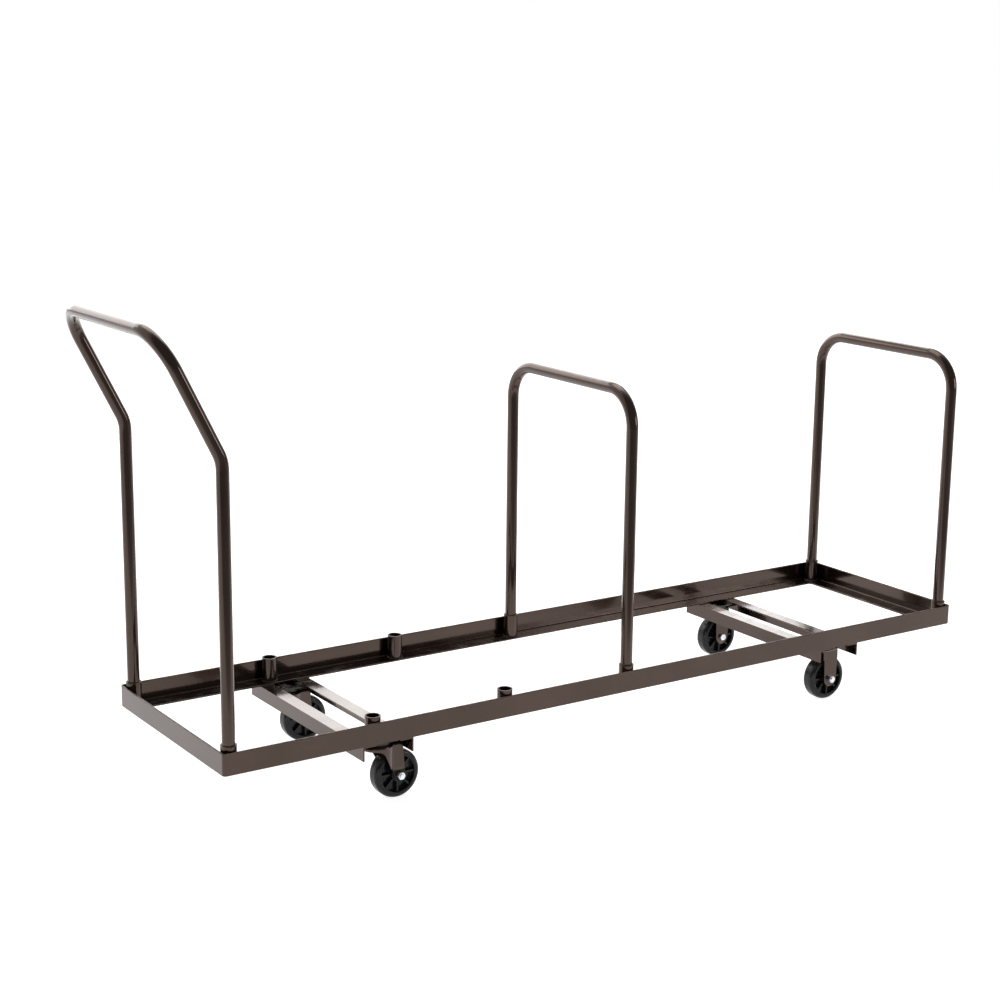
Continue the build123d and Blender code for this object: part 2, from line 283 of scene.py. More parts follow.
# Fine scuff lines, drawn out along the way things slide, and gathered in places
scuff_line_width = 0.008
gather_scale = 11
slide_scuffs, source, sink = shader_group(
    "slide_scuffs", {"Place": "Vector", "Stretch": "Vector", "Amount": "Float"}, {"Mask": "Float"}
)
drawn_out = vector_node(slide_scuffs, "MULTIPLY", source["Place"], source["Stretch"], "Vector")
line = noise(slide_scuffs, drawn_out, 1, 3)
line = math_node(slide_scuffs, "ABSOLUTE", math_node(slide_scuffs, "SUBTRACT", line, 0.5), 0)
line = ramp(slide_scuffs, line, 0, scuff_line_width, 1, 0)
gathered = noise(slide_scuffs, source["Place"], gather_scale, 3)
gathered = ramp(slide_scuffs, gathered, 0.5, 0.66, 0, 1)
scuffed = math_node(slide_scuffs, "MULTIPLY", line, gathered)
slide_scuffs.links.new(math_node(slide_scuffs, "MULTIPLY", scuffed, source["Amount"]), sink["Mask"])

# A rubbed band that fades with distance from the edge or mouth that wears it
break_scale = 70
rubbed_band, source, sink = shader_group(
    "rubbed_band", {"Place": "Vector", "Distance": "Float", "Reach": "Float"},
    {"Mask": "Float", "Edge": "Float"},
)
share = math_node(rubbed_band, "DIVIDE", source["Distance"], source["Reach"])
broken = noise(rubbed_band, source["Place"], break_scale, 5)
broken = ramp(rubbed_band, broken, 0.42, 0.62, 0, 1)
edge = ramp(rubbed_band, share, 0, 1, 1, 0)
rubbed_band.links.new(math_node(rubbed_band, "MULTIPLY", edge, broken), sink["Mask"])
rubbed_band.links.new(edge, sink["Edge"])


def new_finish(name):
    material = bpy.data.materials.new(name)
    material.use_nodes = True
    tree = material.node_tree
    place = tree.nodes.new("ShaderNodeTexCoord").outputs["Object"]
    return material, tree, tree.nodes["Principled BSDF"], place


def enamel(name, rub_z, rub_reach, stretch, peel_scale, dulled, bright=enamel_bright, deep=enamel_deep):
    material, tree, skin, place = new_finish(name)
    coat = place_group(
        tree, flaked_enamel,
        {"Place": place, "Bright Tone": bright, "Deep Tone": deep, "Peel Scale": peel_scale},
    )
    dust = place_group(tree, settled_dust, {"Place": place, "Amount": dust_amount})["Mask"]
    scuff = place_group(
        tree, slide_scuffs, {"Place": place, "Stretch": stretch, "Amount": scuff_amount}
    )["Mask"]
    from_edge = math_node(tree, "SUBTRACT", split(tree, place)["Z"], rub_z)
    from_edge = math_node(tree, "ABSOLUTE", from_edge, 0)
    rub = place_group(tree, rubbed_band, {"Place": place, "Distance": from_edge, "Reach": rub_reach})
    worn = math_node(tree, "MAXIMUM", scuff, math_node(tree, "MULTIPLY", rub["Mask"], rub_strength))
    colour = mix_colour(tree, dust, coat["Colour"], dust_colour)
    colour = mix_colour(tree, worn, colour, enamel_rubbed)
    peel = tree.nodes.new("ShaderNodeBump")
    peel.inputs["Strength"].default_value = 0.03
    peel.inputs["Distance"].default_value = 0.0005
    tree.links.new(coat["Height"], peel.inputs["Height"])
    skin.inputs["Metallic"].default_value = 0.85
    skin.inputs["Coat Weight"].default_value = enamel_coat
    skin.inputs["Coat Roughness"].default_value = 0.06
    tree.links.new(colour, skin.inputs["Base Color"])
    dusty = math_node(tree, "MULTIPLY", dust, dust_roughness)
    roughness = math_node(tree, "ADD", coat["Roughness"], dusty)
    if dulled:
        lost_gloss = math_node(tree, "MULTIPLY", rub["Edge"], dulled)
        matt = math_node(tree, "MULTIPLY", lost_gloss, dulled_roughness)
        roughness = math_node(tree, "ADD", roughness, matt)
        lost_coat = math_node(tree, "MULTIPLY", lost_gloss, enamel_coat)
        tree.links.new(math_node(tree, "SUBTRACT", enamel_coat, lost_coat), skin.inputs["Coat Weight"])
    tree.links.new(roughness, skin.inputs["Roughness"])
    tree.links.new(peel.outputs["Normal"], skin.inputs["Normal"])
    return material


def finish_node(name, material):
    slots = nodes[name].data.materials
    slots.clear()
    slots.append(material)


tray_enamel = enamel(
    "tray_enamel", rail_high.z, top_rub_reach, along_scuffs, spray_peel, edge_dulling
)
cross_enamel = enamel(
    "cross_enamel", rail_high.z, top_rub_reach, across_scuffs, spray_peel, edge_dulling
)
for name in ("right_side_rail", "left_side_rail"):
    finish_node(name, tray_enamel)
for name in ("handle_end_rail", "nose_end_rail"):
    finish_node(name, cross_enamel)

# The corner mitres are welded along the shelf, above and below, with a hand-run bead of small ripples that
# is painted with the tray. The socket that stands in each corner hides the outer part of the upper bead.
sides = (("right", -1), ("left", 1))
mitre_from = 0.0335
mitre_to = 0.0437
under_mitre_from = 0.006
ripple_pitch = 0.0015
ripple_half_length = 0.0013
bead_radius = 0.0019


def growth_tree(name, inputs, result):
    tree = bpy.data.node_groups.new(name, "GeometryNodeTree")
    for label, kind in inputs.items():
        tree.interface.new_socket(label, in_out="INPUT", socket_type="NodeSocket" + kind)
    tree.interface.new_socket(result, in_out="OUTPUT", socket_type="NodeSocketGeometry")
    source = tree.nodes.new("NodeGroupInput").outputs
    sink = tree.nodes.new("NodeGroupOutput").inputs
    return tree, source, sink


weld_bead, bead_in, bead_out = growth_tree(
    "weld_bead",
    {"Path": "Geometry", "Ripple Pitch": "Float", "Ripple Size": "Vector", "Finish": "Material"},
    "Bead",
)
bead_steps = weld_bead.nodes.new("GeometryNodeCurveToPoints")
bead_steps.mode = "LENGTH"
ripple = weld_bead.nodes.new("GeometryNodeMeshUVSphere")
ripple.inputs["Segments"].default_value = 8
ripple.inputs["Rings"].default_value = 5
ripple_smooth = weld_bead.nodes.new("GeometryNodeSetShadeSmooth")
hand_wobble = weld_bead.nodes.new("FunctionNodeRandomValue")
hand_wobble.inputs[2].default_value = 0.86
hand_wobble.inputs[3].default_value = 1.12
hand_wobble.inputs["Seed"].default_value = 4
ripple_scale = weld_bead.nodes.new("ShaderNodeVectorMath")
ripple_scale.operation = "SCALE"
ripples = weld_bead.nodes.new("GeometryNodeInstanceOnPoints")
real_ripples = weld_bead.nodes.new("GeometryNodeRealizeInstances")
bead_paint = weld_bead.nodes.new("GeometryNodeSetMaterial")
for start, end in (
    (bead_in["Path"], bead_steps.inputs["Curve"]),
    (bead_in["Ripple Pitch"], bead_steps.inputs["Length"]),
    (ripple.outputs["Mesh"], ripple_smooth.inputs["Geometry"]),
    (bead_in["Ripple Size"], ripple_scale.inputs[0]),
    (hand_wobble.outputs[1], ripple_scale.inputs["Scale"]),
    (bead_steps.outputs["Points"], ripples.inputs["Points"]),
    (ripple_smooth.outputs["Geometry"], ripples.inputs["Instance"]),
    (bead_steps.outputs["Rotation"], ripples.inputs["Rotation"]),
    (ripple_scale.outputs["Vector"], ripples.inputs["Scale"]),
    (ripples.outputs["Instances"], real_ripples.inputs["Geometry"]),
    (real_ripples.outputs["Geometry"], bead_paint.inputs["Geometry"]),
    (bead_in["Finish"], bead_paint.inputs["Material"]),
    (bead_paint.outputs["Geometry"], bead_out["Bead"]),
):
    weld_bead.links.new(start, end)


def grown_mesh(name, start_data, tree, settings):
    seed = bpy.data.objects.new(name + "_start", start_data)
    bpy.context.scene.collection.objects.link(seed)
    growth = seed.modifiers.new("growth", "NODES")
    growth.node_group = tree
    for item in tree.interface.items_tree:
        if item.in_out == "INPUT" and item.name in settings:
            growth[item.identifier] = settings[item.name]
    grown = seed.evaluated_get(bpy.context.evaluated_depsgraph_get())
    mesh = bpy.data.meshes.new_from_object(grown)
    mesh.name = name
    bpy.data.objects.remove(seed)
    piece = bpy.data.objects.new(name, mesh)
    bpy.context.scene.collection.objects.link(piece)
    return piece


def weld(name, paths, finish):
    route = bpy.data.curves.new(name + "_route", "CURVE")
    route.dimensions = "3D"
    for path in paths:
        spline = route.splines.new("POLY")
        spline.points.add(len(path) - 1)
        for point, corner in zip(spline.points, path):
            point.co = (*corner, 1)
    size = (bead_radius, bead_radius, ripple_half_length)
    piece = grown_mesh(
        name, route, weld_bead, {"Ripple Pitch": ripple_pitch, "Ripple Size": size, "Finish": finish}
    )
    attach(piece, "frame")


end_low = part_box("handle_end_rail")[0]
nose_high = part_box("nose_end_rail")[1]
tray_half_width = -rail_low.y
tray_corners = [(end_low.x, 1), (nose_high.x, -1)]
mitres = []
for corner_x, inward in tray_corners:
    for side, sign in sides:
        for z, begin in ((shelf_z, mitre_from), (rail_low.z, under_mitre_from)):
            mitres.append(
                [
                    (corner_x + inward * run, sign * (tray_half_width - run), z)
                    for run in (begin, mitre_to)
                ]
            )
weld("mitre_welds", mitres, tray_enamel)

# Four cross angles of lighter section lie under the side rails in two pairs, with one leg hanging down.
# Each is welded to the shelf's edge above and along its hanging leg below, and painted with the tray.
shelf_edge_y = tray_half_width - rail_leg
cross_weld_stop = 0.008
cross_weld_end_y = tray_half_width - cross_weld_stop
cross_welds = []
for end in ("handle", "nose"):
    pair_boxes = [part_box(end + "_cross_angle_" + place_name) for place_name in ("outer", "inner")]
    pair_x = sum(low.x + high.x for low, high in pair_boxes) / 4
    for place_name, (low, high) in zip(("outer", "inner"), pair_boxes):
        finish_node(end + "_cross_angle_" + place_name, cross_enamel)
        leg_face_x = max((low.x, high.x), key=lambda x: abs(x - pair_x))
        for side, sign in sides:
            cross_welds.append([(x, sign * shelf_edge_y, rail_low.z) for x in (low.x, high.x)])
            cross_welds.append(
                [(leg_face_x, sign * y, rail_low.z) for y in (shelf_edge_y, cross_weld_end_y)]
            )
weld("cross_angle_welds", cross_welds, tray_enamel)

# Ten short sockets of thick tube stand on the shelf in the angle's corner, each welded round its foot
# wherever a torch can reach, and painted with the tray. Tubes dropped in and out rub their mouths bright.
mouth_rub_reach = 0.004
socket_scuffs = (300, 300, 40)
socket_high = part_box("right_socket_1")[1]
socket_enamel = enamel(
    "socket_enamel", socket_high.z, mouth_rub_reach, socket_scuffs, spray_peel, edge_dulling
)
foot_arc_steps = 24
side_arc = math.radians(150)
corner_arc = math.radians(105)
foot_welds = []
for station in ("handle_socket", "socket_1", "socket_2", "middle_socket", "nose_socket"):
    for side, sign in sides:
        finish_node(side + "_" + station, socket_enamel)
        low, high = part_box(side + "_" + station)
        centre = (low + high) / 2
        foot_radius = (high.x - low.x) / 2
        inward_x = {"handle_socket": 1, "nose_socket": -1}.get(station, 0)
        half_arc = corner_arc if inward_x else side_arc
        middle = math.atan2(-sign, inward_x)
        arc_shares = [2 * step / foot_arc_steps - 1 for step in range(foot_arc_steps + 1)]
        turns = [middle + half_arc * arc_share for arc_share in arc_shares]
        foot_welds.append(
            [
                (
                    centre.x + foot_radius * math.cos(turn),
                    centre.y + foot_radius * math.sin(turn),
                    shelf_z,
                )
                for turn in turns
            ]
        )
weld("socket_welds", foot_welds, tray_enamel)

# The push handle and the two hoops are bent from one size of round steel tube, sprayed like the tray. They
# slide in their sockets, which rubs a ring into the enamel just above each mouth.
ring_rub_reach = 0.006
ring_dulling = 0.5
tube_scuffs = (260, 260, 30)
tube_enamel = enamel(
    "tube_enamel", socket_high.z, ring_rub_reach, tube_scuffs, spray_peel, ring_dulling
)
for name in ("push_handle", "middle_hoop", "nose_hoop"):
    finish_node(name, tube_enamel)

# Each caster hangs from a pressed steel plate with a round dish in it. The plate's ends lie under the
# flanges of two cross angles and are stitch welded to their edges from above. The plates are coloured
# near-black, much darker than the forks.
stitch_length = 0.018
stitch_places = (0.24, 0.76)
# Near-black tones for the plates, much darker than the forks
plate_bright = (0.03, 0.024, 0.021, 1)
plate_deep = (0.014, 0.012, 0.011, 1)
caster_rub_z = rail_low.z - 0.1
caster_rub_reach = 0.02
caster_scuffs = (120, 120, 260)
caster_peel = 380
undulled = 0
caster_enamel = enamel(
    "caster_enamel", caster_rub_z, caster_rub_reach, caster_scuffs, caster_peel, undulled
)
plate_enamel = enamel(
    "plate_enamel", caster_rub_z, caster_rub_reach, caster_scuffs, caster_peel, undulled,
    plate_bright, plate_deep,
)
plate_welds = []
for end, kind in (("handle", "swivel"), ("nose", "rigid")):
    pair_boxes = [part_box(end + "_cross_angle_" + place_name) for place_name in ("outer", "inner")]
    pair_x = sum(low.x + high.x for low, high in pair_boxes) / 4
    for side, sign in sides:
        name = side + "_" + kind + "_plate"
        finish_node(name, plate_enamel)
        low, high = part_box(name)
        for flange_low, flange_high in pair_boxes:
            flange_edge_x = min((flange_low.x, flange_high.x), key=lambda x: abs(x - pair_x))
            for share in stitch_places:
                y = low.y + share * (high.y - low.y)
                plate_welds.append(
                    [(flange_edge_x, y + step * stitch_length / 2, high.z) for step in (-1, 1)]
                )
weld("plate_welds", plate_welds, caster_enamel)

# Each swivel turns on two rows of hard steel balls in grease, one above the fork's crown and one below it,
# all clamped by a plated king pin whose head sits in the plate's dish. The spraying of the tray half
# covered the pin.
zinc_bright = (0.86, 0.89, 0.93, 1)
zinc_dull = (0.7, 0.72, 0.76, 1)
ball_bright = (0.6, 0.6, 0.61, 1)
ball_worn = (0.45, 0.44, 0.44, 1)
grease_fresh = (0.05, 0.032, 0.012, 1)
grease_old = (0.012, 0.009, 0.006, 1)
grease_radius = 0.0267
grease_half_height = 0.00085
grease_steps = 96
grease_sides = 8

# Zinc plate: cool drift in tone, duller patches, and short fine handling marks
zinc_plate, source, sink = shader_group(
    "zinc_plate",
    {"Place": "Vector", "Bright Tone": "Color", "Dull Tone": "Color"},
    {"Colour": "Color", "Roughness": "Float", "Height": "Float"},
)
dulled = ramp(zinc_plate, noise(zinc_plate, source["Place"], 160, 4), 0.4, 0.66, 0, 1)
marks = noise(zinc_plate, source["Place"], 1400, 3)
zinc_plate.links.new(
    mix_colour(zinc_plate, dulled, source["Bright Tone"], source["Dull Tone"]), sink["Colour"]
)
zinc_plate.links.new(
    math_node(
        zinc_plate, "ADD", ramp(zinc_plate, dulled, 0, 1, 0.3, 0.44),
        math_node(zinc_plate, "MULTIPLY", marks, 0.1),
    ),
    sink["Roughness"],
)
zinc_plate.links.new(marks, sink["Height"])


def plated(name, bright, dull, overspray):
    material, tree, skin, place = new_finish(name)
    plate = place_group(tree, zinc_plate, {"Place": place, "Bright Tone": bright, "Dull Tone": dull})
    colour = plate["Colour"]
    if overspray:
        covered = ramp(tree, noise(tree, place, 120, 4), 0.3, 0.42, 0, 1)
        colour = mix_colour(tree, covered, colour, enamel_deep)
    marks = tree.nodes.new("ShaderNodeBump")
    marks.inputs["Strength"].default_value = 0.15
    marks.inputs["Distance"].default_value = 0.0002
    tree.links.new(plate["Height"], marks.inputs["Height"])
    skin.inputs["Metallic"].default_value = 1
    tree.links.new(colour, skin.inputs["Base Color"])
    tree.links.new(plate["Roughness"], skin.inputs["Roughness"])
    tree.links.new(marks.outputs["Normal"], skin.inputs["Normal"])
    return material


pin_plate = plated("king_pin_plate", zinc_bright, zinc_dull, True)
ball_steel = plated("ball_steel", ball_bright, ball_worn, False)
for side, sign in sides:
    finish_node(side + "_king_pin", pin_plate)
    finish_node(side + "_upper_balls", ball_steel)
    finish_node(side + "_lower_balls", ball_steel)

race_grease, grease, grease_skin, grease_place = new_finish("race_grease")
smear = noise(grease, grease_place, 210, 4)
grease.links.new(
    mix_colour(grease, ramp(grease, smear, 0.35, 0.65, 0, 1), grease_old, grease_fresh),
    grease_skin.inputs["Base Color"],
)
grease.links.new(ramp(grease, smear, 0.3, 0.7, 0.5, 0.22), grease_skin.inputs["Roughness"])
lumps = grease.nodes.new("ShaderNodeBump")
lumps.inputs["Strength"].default_value = 0.6
lumps.inputs["Distance"].default_value = 0.0006
grease.links.new(smear, lumps.inputs["Height"])
grease.links.new(lumps.outputs["Normal"], grease_skin.inputs["Normal"])

for side, sign in sides:
    low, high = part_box(side + "_upper_balls")
    centre = (low + high) / 2
    corners = []
    faces = []
    for step in range(grease_steps):
        turn = 2 * math.pi * step / grease_steps
        swell = 0.8 + 0.12 * math.sin(5 * turn) + 0.08 * math.sin(11 * turn + 1)
        for spot in range(grease_sides):
            lean = 2 * math.pi * spot / grease_sides
            reach = grease_radius + swell * grease_half_height * math.cos(lean)
            corners.append(
                (
                    centre.x + reach * math.cos(turn),
                    centre.y + reach * math.sin(turn),
                    centre.z + grease_half_height * math.sin(lean),
                )
            )
            here = step * grease_sides + spot
            beside = step * grease_sides + (spot + 1) % grease_sides
            ahead = (step + 1) % grease_steps * grease_sides
            faces.append((here, ahead + spot, ahead + (spot + 1) % grease_sides, beside))
    bead = bpy.data.meshes.new(side + "_race_grease")
    bead.from_pydata(corners, [], faces)
    bead.polygons.foreach_set("use_smooth", [True] * len(faces))
    bead.materials.append(race_grease)
    piece = bpy.data.objects.new(side + "_race_grease", bead)
    bpy.context.scene.collection.objects.link(piece)
    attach(piece, "frame")

# The forks are pressed from steel strip. The swivel forks are drawn into a round drum under the crown, and
# their lower ends, round the axle, are coloured near-black up to a ragged line. The rigid forks are plain
# bent straps, welded along both edges of the crown to the underside of their plates.
crown_weld_half = 0.0135
crown_weld_sink = 0.0005
wheel_low, wheel_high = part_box("right_swivel_wheel")
axle_z = (wheel_low.z + wheel_high.z) / 2
# Near-black, less glossy lower ends of the swivel forks, below a ragged line just above the axle
dark_end_rise = 0.0125
dark_end_top = axle_z + dark_end_rise
dark_end_fade = 0.0022
dark_end_colour = (0.012, 0.011, 0.012, 1)
dark_end_roughness = 0.45
dark_end_coat = 0.15
ragged_scale = 260
ragged_depth = 0.003

swivel_enamel = enamel(
    "swivel_enamel", axle_z, caster_rub_reach, caster_scuffs, caster_peel, undulled
)
tree = swivel_enamel.node_tree
skin = tree.nodes["Principled BSDF"]
place = tree.nodes.new("ShaderNodeTexCoord").outputs["Object"]
# The swivel fork's lower end, up to a ragged line just above the axle, is coloured near-black with less
# gloss.
ragged = math_node(tree, "MULTIPLY", noise(tree, place, ragged_scale, 3), ragged_depth)
ragged = math_node(tree, "ADD", split(tree, place)["Z"], ragged)
darkening = ramp(tree, ragged, dark_end_top, dark_end_top + dark_end_fade, 1, 0)
for socket, under, over in (
    ("Roughness", skin.inputs["Roughness"].links[0].from_socket, dark_end_roughness),
    ("Coat Weight", enamel_coat, dark_end_coat),
):
    kept = math_node(tree, "MULTIPLY", math_node(tree, "SUBTRACT", 1, darkening), under)
    tree.links.new(
        math_node(tree, "ADD", kept, math_node(tree, "MULTIPLY", darkening, over)), skin.inputs[socket]
    )
painted = skin.inputs["Base Color"].links[0].from_socket
tree.links.new(mix_colour(tree, darkening, painted, dark_end_colour), skin.inputs["Base Color"])

crown_welds = []
for side, sign in sides:
    finish_node(side + "_swivel_fork", swivel_enamel)
    finish_node(side + "_rigid_fork", caster_enamel)
    low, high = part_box(side + "_rigid_fork")
    middle_y = (low.y + high.y) / 2
    weld_z = high.z - crown_weld_sink
    for edge_x in (low.x, high.x):
        crown_welds.append([(edge_x, middle_y + step * crown_weld_half, weld_z) for step in (-1, 1)])
weld("rigid_crown_welds", crown_welds, caster_enamel)

# The wheels are moulded in one shot from hard black plastic, with a thin web, eight ribs and a rounded
# tread. Ejector pins left a disc between each pair of ribs. Blue-grey streaks run round the tread, partly
# floor scuffs and partly painted highlight.
wheel_deep = (0.009, 0.009, 0.01, 1)
wheel_bright = (0.022, 0.022, 0.024, 1)
scuff_sheen_grey = (0.13, 0.135, 0.145, 1)
tread_depth = 0.006
pin_mark_ring = 0.0272
pin_mark_radius = 0.0031
pin_mark_height = 0.0007
web_half = 0.0045
rim_line_radius = 0.0402
rim_line_thickness = 0.0005
rim_half = 0.0159

# Moulded plastic: fine grain and turned mould rings on the sides, and drawn-out blue-grey streaks round
# the tread, partly scuffs and partly painted highlight
scuff_sheen_round = 2.2
scuff_sheen_across = 420
tread_fade = 0.002
grey_share = 0.55
ring_density = 6500
ring_height = 0.12
moulded_plastic, source, sink = shader_group(
    "moulded_plastic",
    {
        "Place": "Vector", "Deep Tone": "Color", "Bright Tone": "Color", "Scuff Sheen Tone": "Color",
        "Tread Start": "Float",
    },
    {"Colour": "Color", "Roughness": "Float", "Height": "Float"},
)
wheel_axes = split(moulded_plastic, source["Place"])
flat_place = vector_node(moulded_plastic, "MULTIPLY", source["Place"], (1, 0, 1), "Vector")
from_axle = vector_node(moulded_plastic, "DISTANCE", flat_place, (0, 0, 0), "Value")
around = math_node(moulded_plastic, "ARCTAN2", wheel_axes["Z"], wheel_axes["X"])
unrolled = moulded_plastic.nodes.new("ShaderNodeCombineXYZ")
around = math_node(moulded_plastic, "MULTIPLY", around, scuff_sheen_round)
moulded_plastic.links.new(around, unrolled.inputs["X"])
crosswise = math_node(moulded_plastic, "MULTIPLY", wheel_axes["Y"], scuff_sheen_across)
moulded_plastic.links.new(crosswise, unrolled.inputs["Y"])
full_tread = math_node(moulded_plastic, "ADD", source["Tread Start"], tread_fade)
on_tread = ramp(moulded_plastic, from_axle, source["Tread Start"], full_tread, 0, 1)
# Blue-grey streaks round the tread: partly floor scuffs, partly painted highlight.
scuffed_sheen_streak = noise(moulded_plastic, unrolled.outputs["Vector"], 1, 4)
scuffed_sheen_streak = ramp(moulded_plastic, scuffed_sheen_streak, 0.46, 0.7, 0, 1)
scuffed_sheen_streak = math_node(moulded_plastic, "MULTIPLY", scuffed_sheen_streak, on_tread)
side_dust = ramp(moulded_plastic, noise(moulded_plastic, source["Place"], 90, 5), 0.5, 0.8, 0, 0.35)
greyed = math_node(moulded_plastic, "MAXIMUM", scuffed_sheen_streak, side_dust)
grain = noise(moulded_plastic, source["Place"], 900, 2)
tone = mix_colour(moulded_plastic, grain, source["Deep Tone"], source["Bright Tone"])
grey_mask = math_node(moulded_plastic, "MULTIPLY", greyed, grey_share)
moulded_plastic.links.new(
    mix_colour(moulded_plastic, grey_mask, tone, source["Scuff Sheen Tone"]), sink["Colour"]
)
moulded_plastic.links.new(
    math_node(
        moulded_plastic, "ADD", ramp(moulded_plastic, greyed, 0, 1, 0.14, 0.42),
        math_node(moulded_plastic, "MULTIPLY", grain, 0.1),
    ),
    sink["Roughness"],
)
rings = math_node(moulded_plastic, "MULTIPLY", from_axle, ring_density)
rings = math_node(moulded_plastic, "SINE", rings, 0)
off_tread = math_node(moulded_plastic, "SUBTRACT", 1, on_tread)
rings = math_node(moulded_plastic, "MULTIPLY", rings, off_tread)
rings = math_node(moulded_plastic, "MULTIPLY", rings, ring_height)
moulded_plastic.links.new(math_node(moulded_plastic, "ADD", grain, rings), sink["Height"])


def moulded_black(name, axle):
    material, tree, skin, place = new_finish(name)
    centred = tree.nodes.new("ShaderNodeMapping")
    centred.inputs["Location"].default_value = -axle
    tree.links.new(place, centred.inputs["Vector"])
    plastic = place_group(
        tree, moulded_plastic,
        {
            "Place": centred.outputs["Vector"], "Deep Tone": wheel_deep, "Bright Tone": wheel_bright,
            "Scuff Sheen Tone": scuff_sheen_grey, "Tread Start": axle.z - tread_depth,
        },
    )
    grain = tree.nodes.new("ShaderNodeBump")
    grain.inputs["Strength"].default_value = 0.2
    grain.inputs["Distance"].default_value = 0.0003
    tree.links.new(plastic["Height"], grain.inputs["Height"])
    skin.inputs["Specular IOR Level"].default_value = 0.25
    tree.links.new(plastic["Colour"], skin.inputs["Base Color"])
    tree.links.new(plastic["Roughness"], skin.inputs["Roughness"])
    tree.links.new(grain.outputs["Normal"], skin.inputs["Normal"])
    return material


mould_marks, marks_in, marks_out = growth_tree(
    "mould_marks",
    {
        "Axle": "Geometry", "Ring Radius": "Float", "Disc Radius": "Float", "Disc Height": "Float",
        "Web Half": "Float", "Line Radius": "Float", "Line Half": "Float", "Line Thickness": "Float",
        "Finish": "Material",
    },
    "Marks",
)
disc_ring = mould_marks.nodes.new("GeometryNodeMeshCircle")
disc_ring.inputs["Vertices"].default_value = 8
between_ribs = mould_marks.nodes.new("GeometryNodeTransform")
between_ribs.inputs["Rotation"].default_value = (0, 0, math.radians(22.5))
disc = mould_marks.nodes.new("GeometryNodeMeshCylinder")
disc.inputs["Vertices"].default_value = 20
discs = mould_marks.nodes.new("GeometryNodeInstanceOnPoints")
rim_ring = mould_marks.nodes.new("GeometryNodeCurvePrimitiveCircle")
rim_ring.inputs["Resolution"].default_value = 96
line_section = mould_marks.nodes.new("GeometryNodeCurvePrimitiveCircle")
line_section.inputs["Resolution"].default_value = 6
rim_line = mould_marks.nodes.new("GeometryNodeCurveToMesh")
both_faces = mould_marks.nodes.new("GeometryNodeJoinGeometry")
for half, shape in (("Web Half", discs.outputs["Instances"]), ("Line Half", rim_line.outputs["Mesh"])):
    for direction in (-1, 1):
        offset = mould_marks.nodes.new("ShaderNodeVectorMath")
        offset.operation = "SCALE"
        offset.inputs[0].default_value = (0, 0, direction)
        shifted = mould_marks.nodes.new("GeometryNodeTransform")
        mould_marks.links.new(marks_in[half], offset.inputs["Scale"])
        mould_marks.links.new(offset.outputs["Vector"], shifted.inputs["Translation"])
        mould_marks.links.new(shape, shifted.inputs["Geometry"])
        mould_marks.links.new(shifted.outputs["Geometry"], both_faces.inputs["Geometry"])
on_axle = mould_marks.nodes.new("GeometryNodeTransform")
on_axle.inputs["Rotation"].default_value = (math.radians(90), 0, 0)
at_wheel = mould_marks.nodes.new("GeometryNodeInstanceOnPoints")
real_marks = mould_marks.nodes.new("GeometryNodeRealizeInstances")
marks_finish = mould_marks.nodes.new("GeometryNodeSetMaterial")
for start, end in (
    (marks_in["Ring Radius"], disc_ring.inputs["Radius"]),
    (disc_ring.outputs["Mesh"], between_ribs.inputs["Geometry"]),
    (marks_in["Disc Radius"], disc.inputs["Radius"]),
    (marks_in["Disc Height"], disc.inputs["Depth"]),
    (between_ribs.outputs["Geometry"], discs.inputs["Points"]),
    (disc.outputs["Mesh"], discs.inputs["Instance"]),
    (marks_in["Line Radius"], rim_ring.inputs["Radius"]),
    (marks_in["Line Thickness"], line_section.inputs["Radius"]),
    (rim_ring.outputs["Curve"], rim_line.inputs["Curve"]),
    (line_section.outputs["Curve"], rim_line.inputs["Profile Curve"]),
    (both_faces.outputs["Geometry"], on_axle.inputs["Geometry"]),
    (marks_in["Axle"], at_wheel.inputs["Points"]),
    (on_axle.outputs["Geometry"], at_wheel.inputs["Instance"]),
    (at_wheel.outputs["Instances"], real_marks.inputs["Geometry"]),
    (real_marks.outputs["Geometry"], marks_finish.inputs["Geometry"]),
    (marks_in["Finish"], marks_finish.inputs["Material"]),
    (marks_finish.outputs["Geometry"], marks_out["Marks"]),
):
    mould_marks.links.new(start, end)

axles = {}
for kind in ("swivel", "rigid"):
    for side, sign in sides:
        name = side + "_" + kind
        low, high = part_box(name + "_wheel")
        axle = (low + high) / 2
        axles[name] = axle
        plastic = moulded_black(name + "_wheel_black", axle)
        finish_node(name + "_wheel", plastic)
        spot = bpy.data.meshes.new(name + "_axle_spot")
        spot.from_pydata([axle], [], [])
        piece = grown_mesh(
            name + "_mould_marks", spot, mould_marks,
            {
                "Ring Radius": pin_mark_ring, "Disc Radius": pin_mark_radius,
                "Disc Height": pin_mark_height, "Web Half": web_half, "Line Radius": rim_line_radius,
                "Line Half": rim_half, "Line Thickness": rim_line_thickness, "Finish": plastic,
            },
        )
        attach(piece, name + "_roller")

# Each wheel turns with a pressed-in nylon bush on a steel sleeve, which a plated bolt and nut clamp in the
# fork. The bolt's thread shows for its last turn past the nut.
nylon_pale = (0.62, 0.6, 0.54, 1)
nylon_dirty = (0.3, 0.28, 0.24, 1)
thread_pitch = 0.0015
thread_turns = 1.05
thread_depth = 0.0004
bolt_radius = 0.00475

axle_plate = plated("axle_plate", zinc_bright, zinc_dull, False)
bush_nylon, nylon, nylon_skin, nylon_place = new_finish("bush_nylon")
darkening = noise(nylon, nylon_place, 240, 4)
nylon.links.new(
    mix_colour(nylon, ramp(nylon, darkening, 0.42, 0.7, 0, 1), nylon_pale, nylon_dirty),
    nylon_skin.inputs["Base Color"],
)
nylon.links.new(ramp(nylon, darkening, 0.3, 0.7, 0.32, 0.55), nylon_skin.inputs["Roughness"])

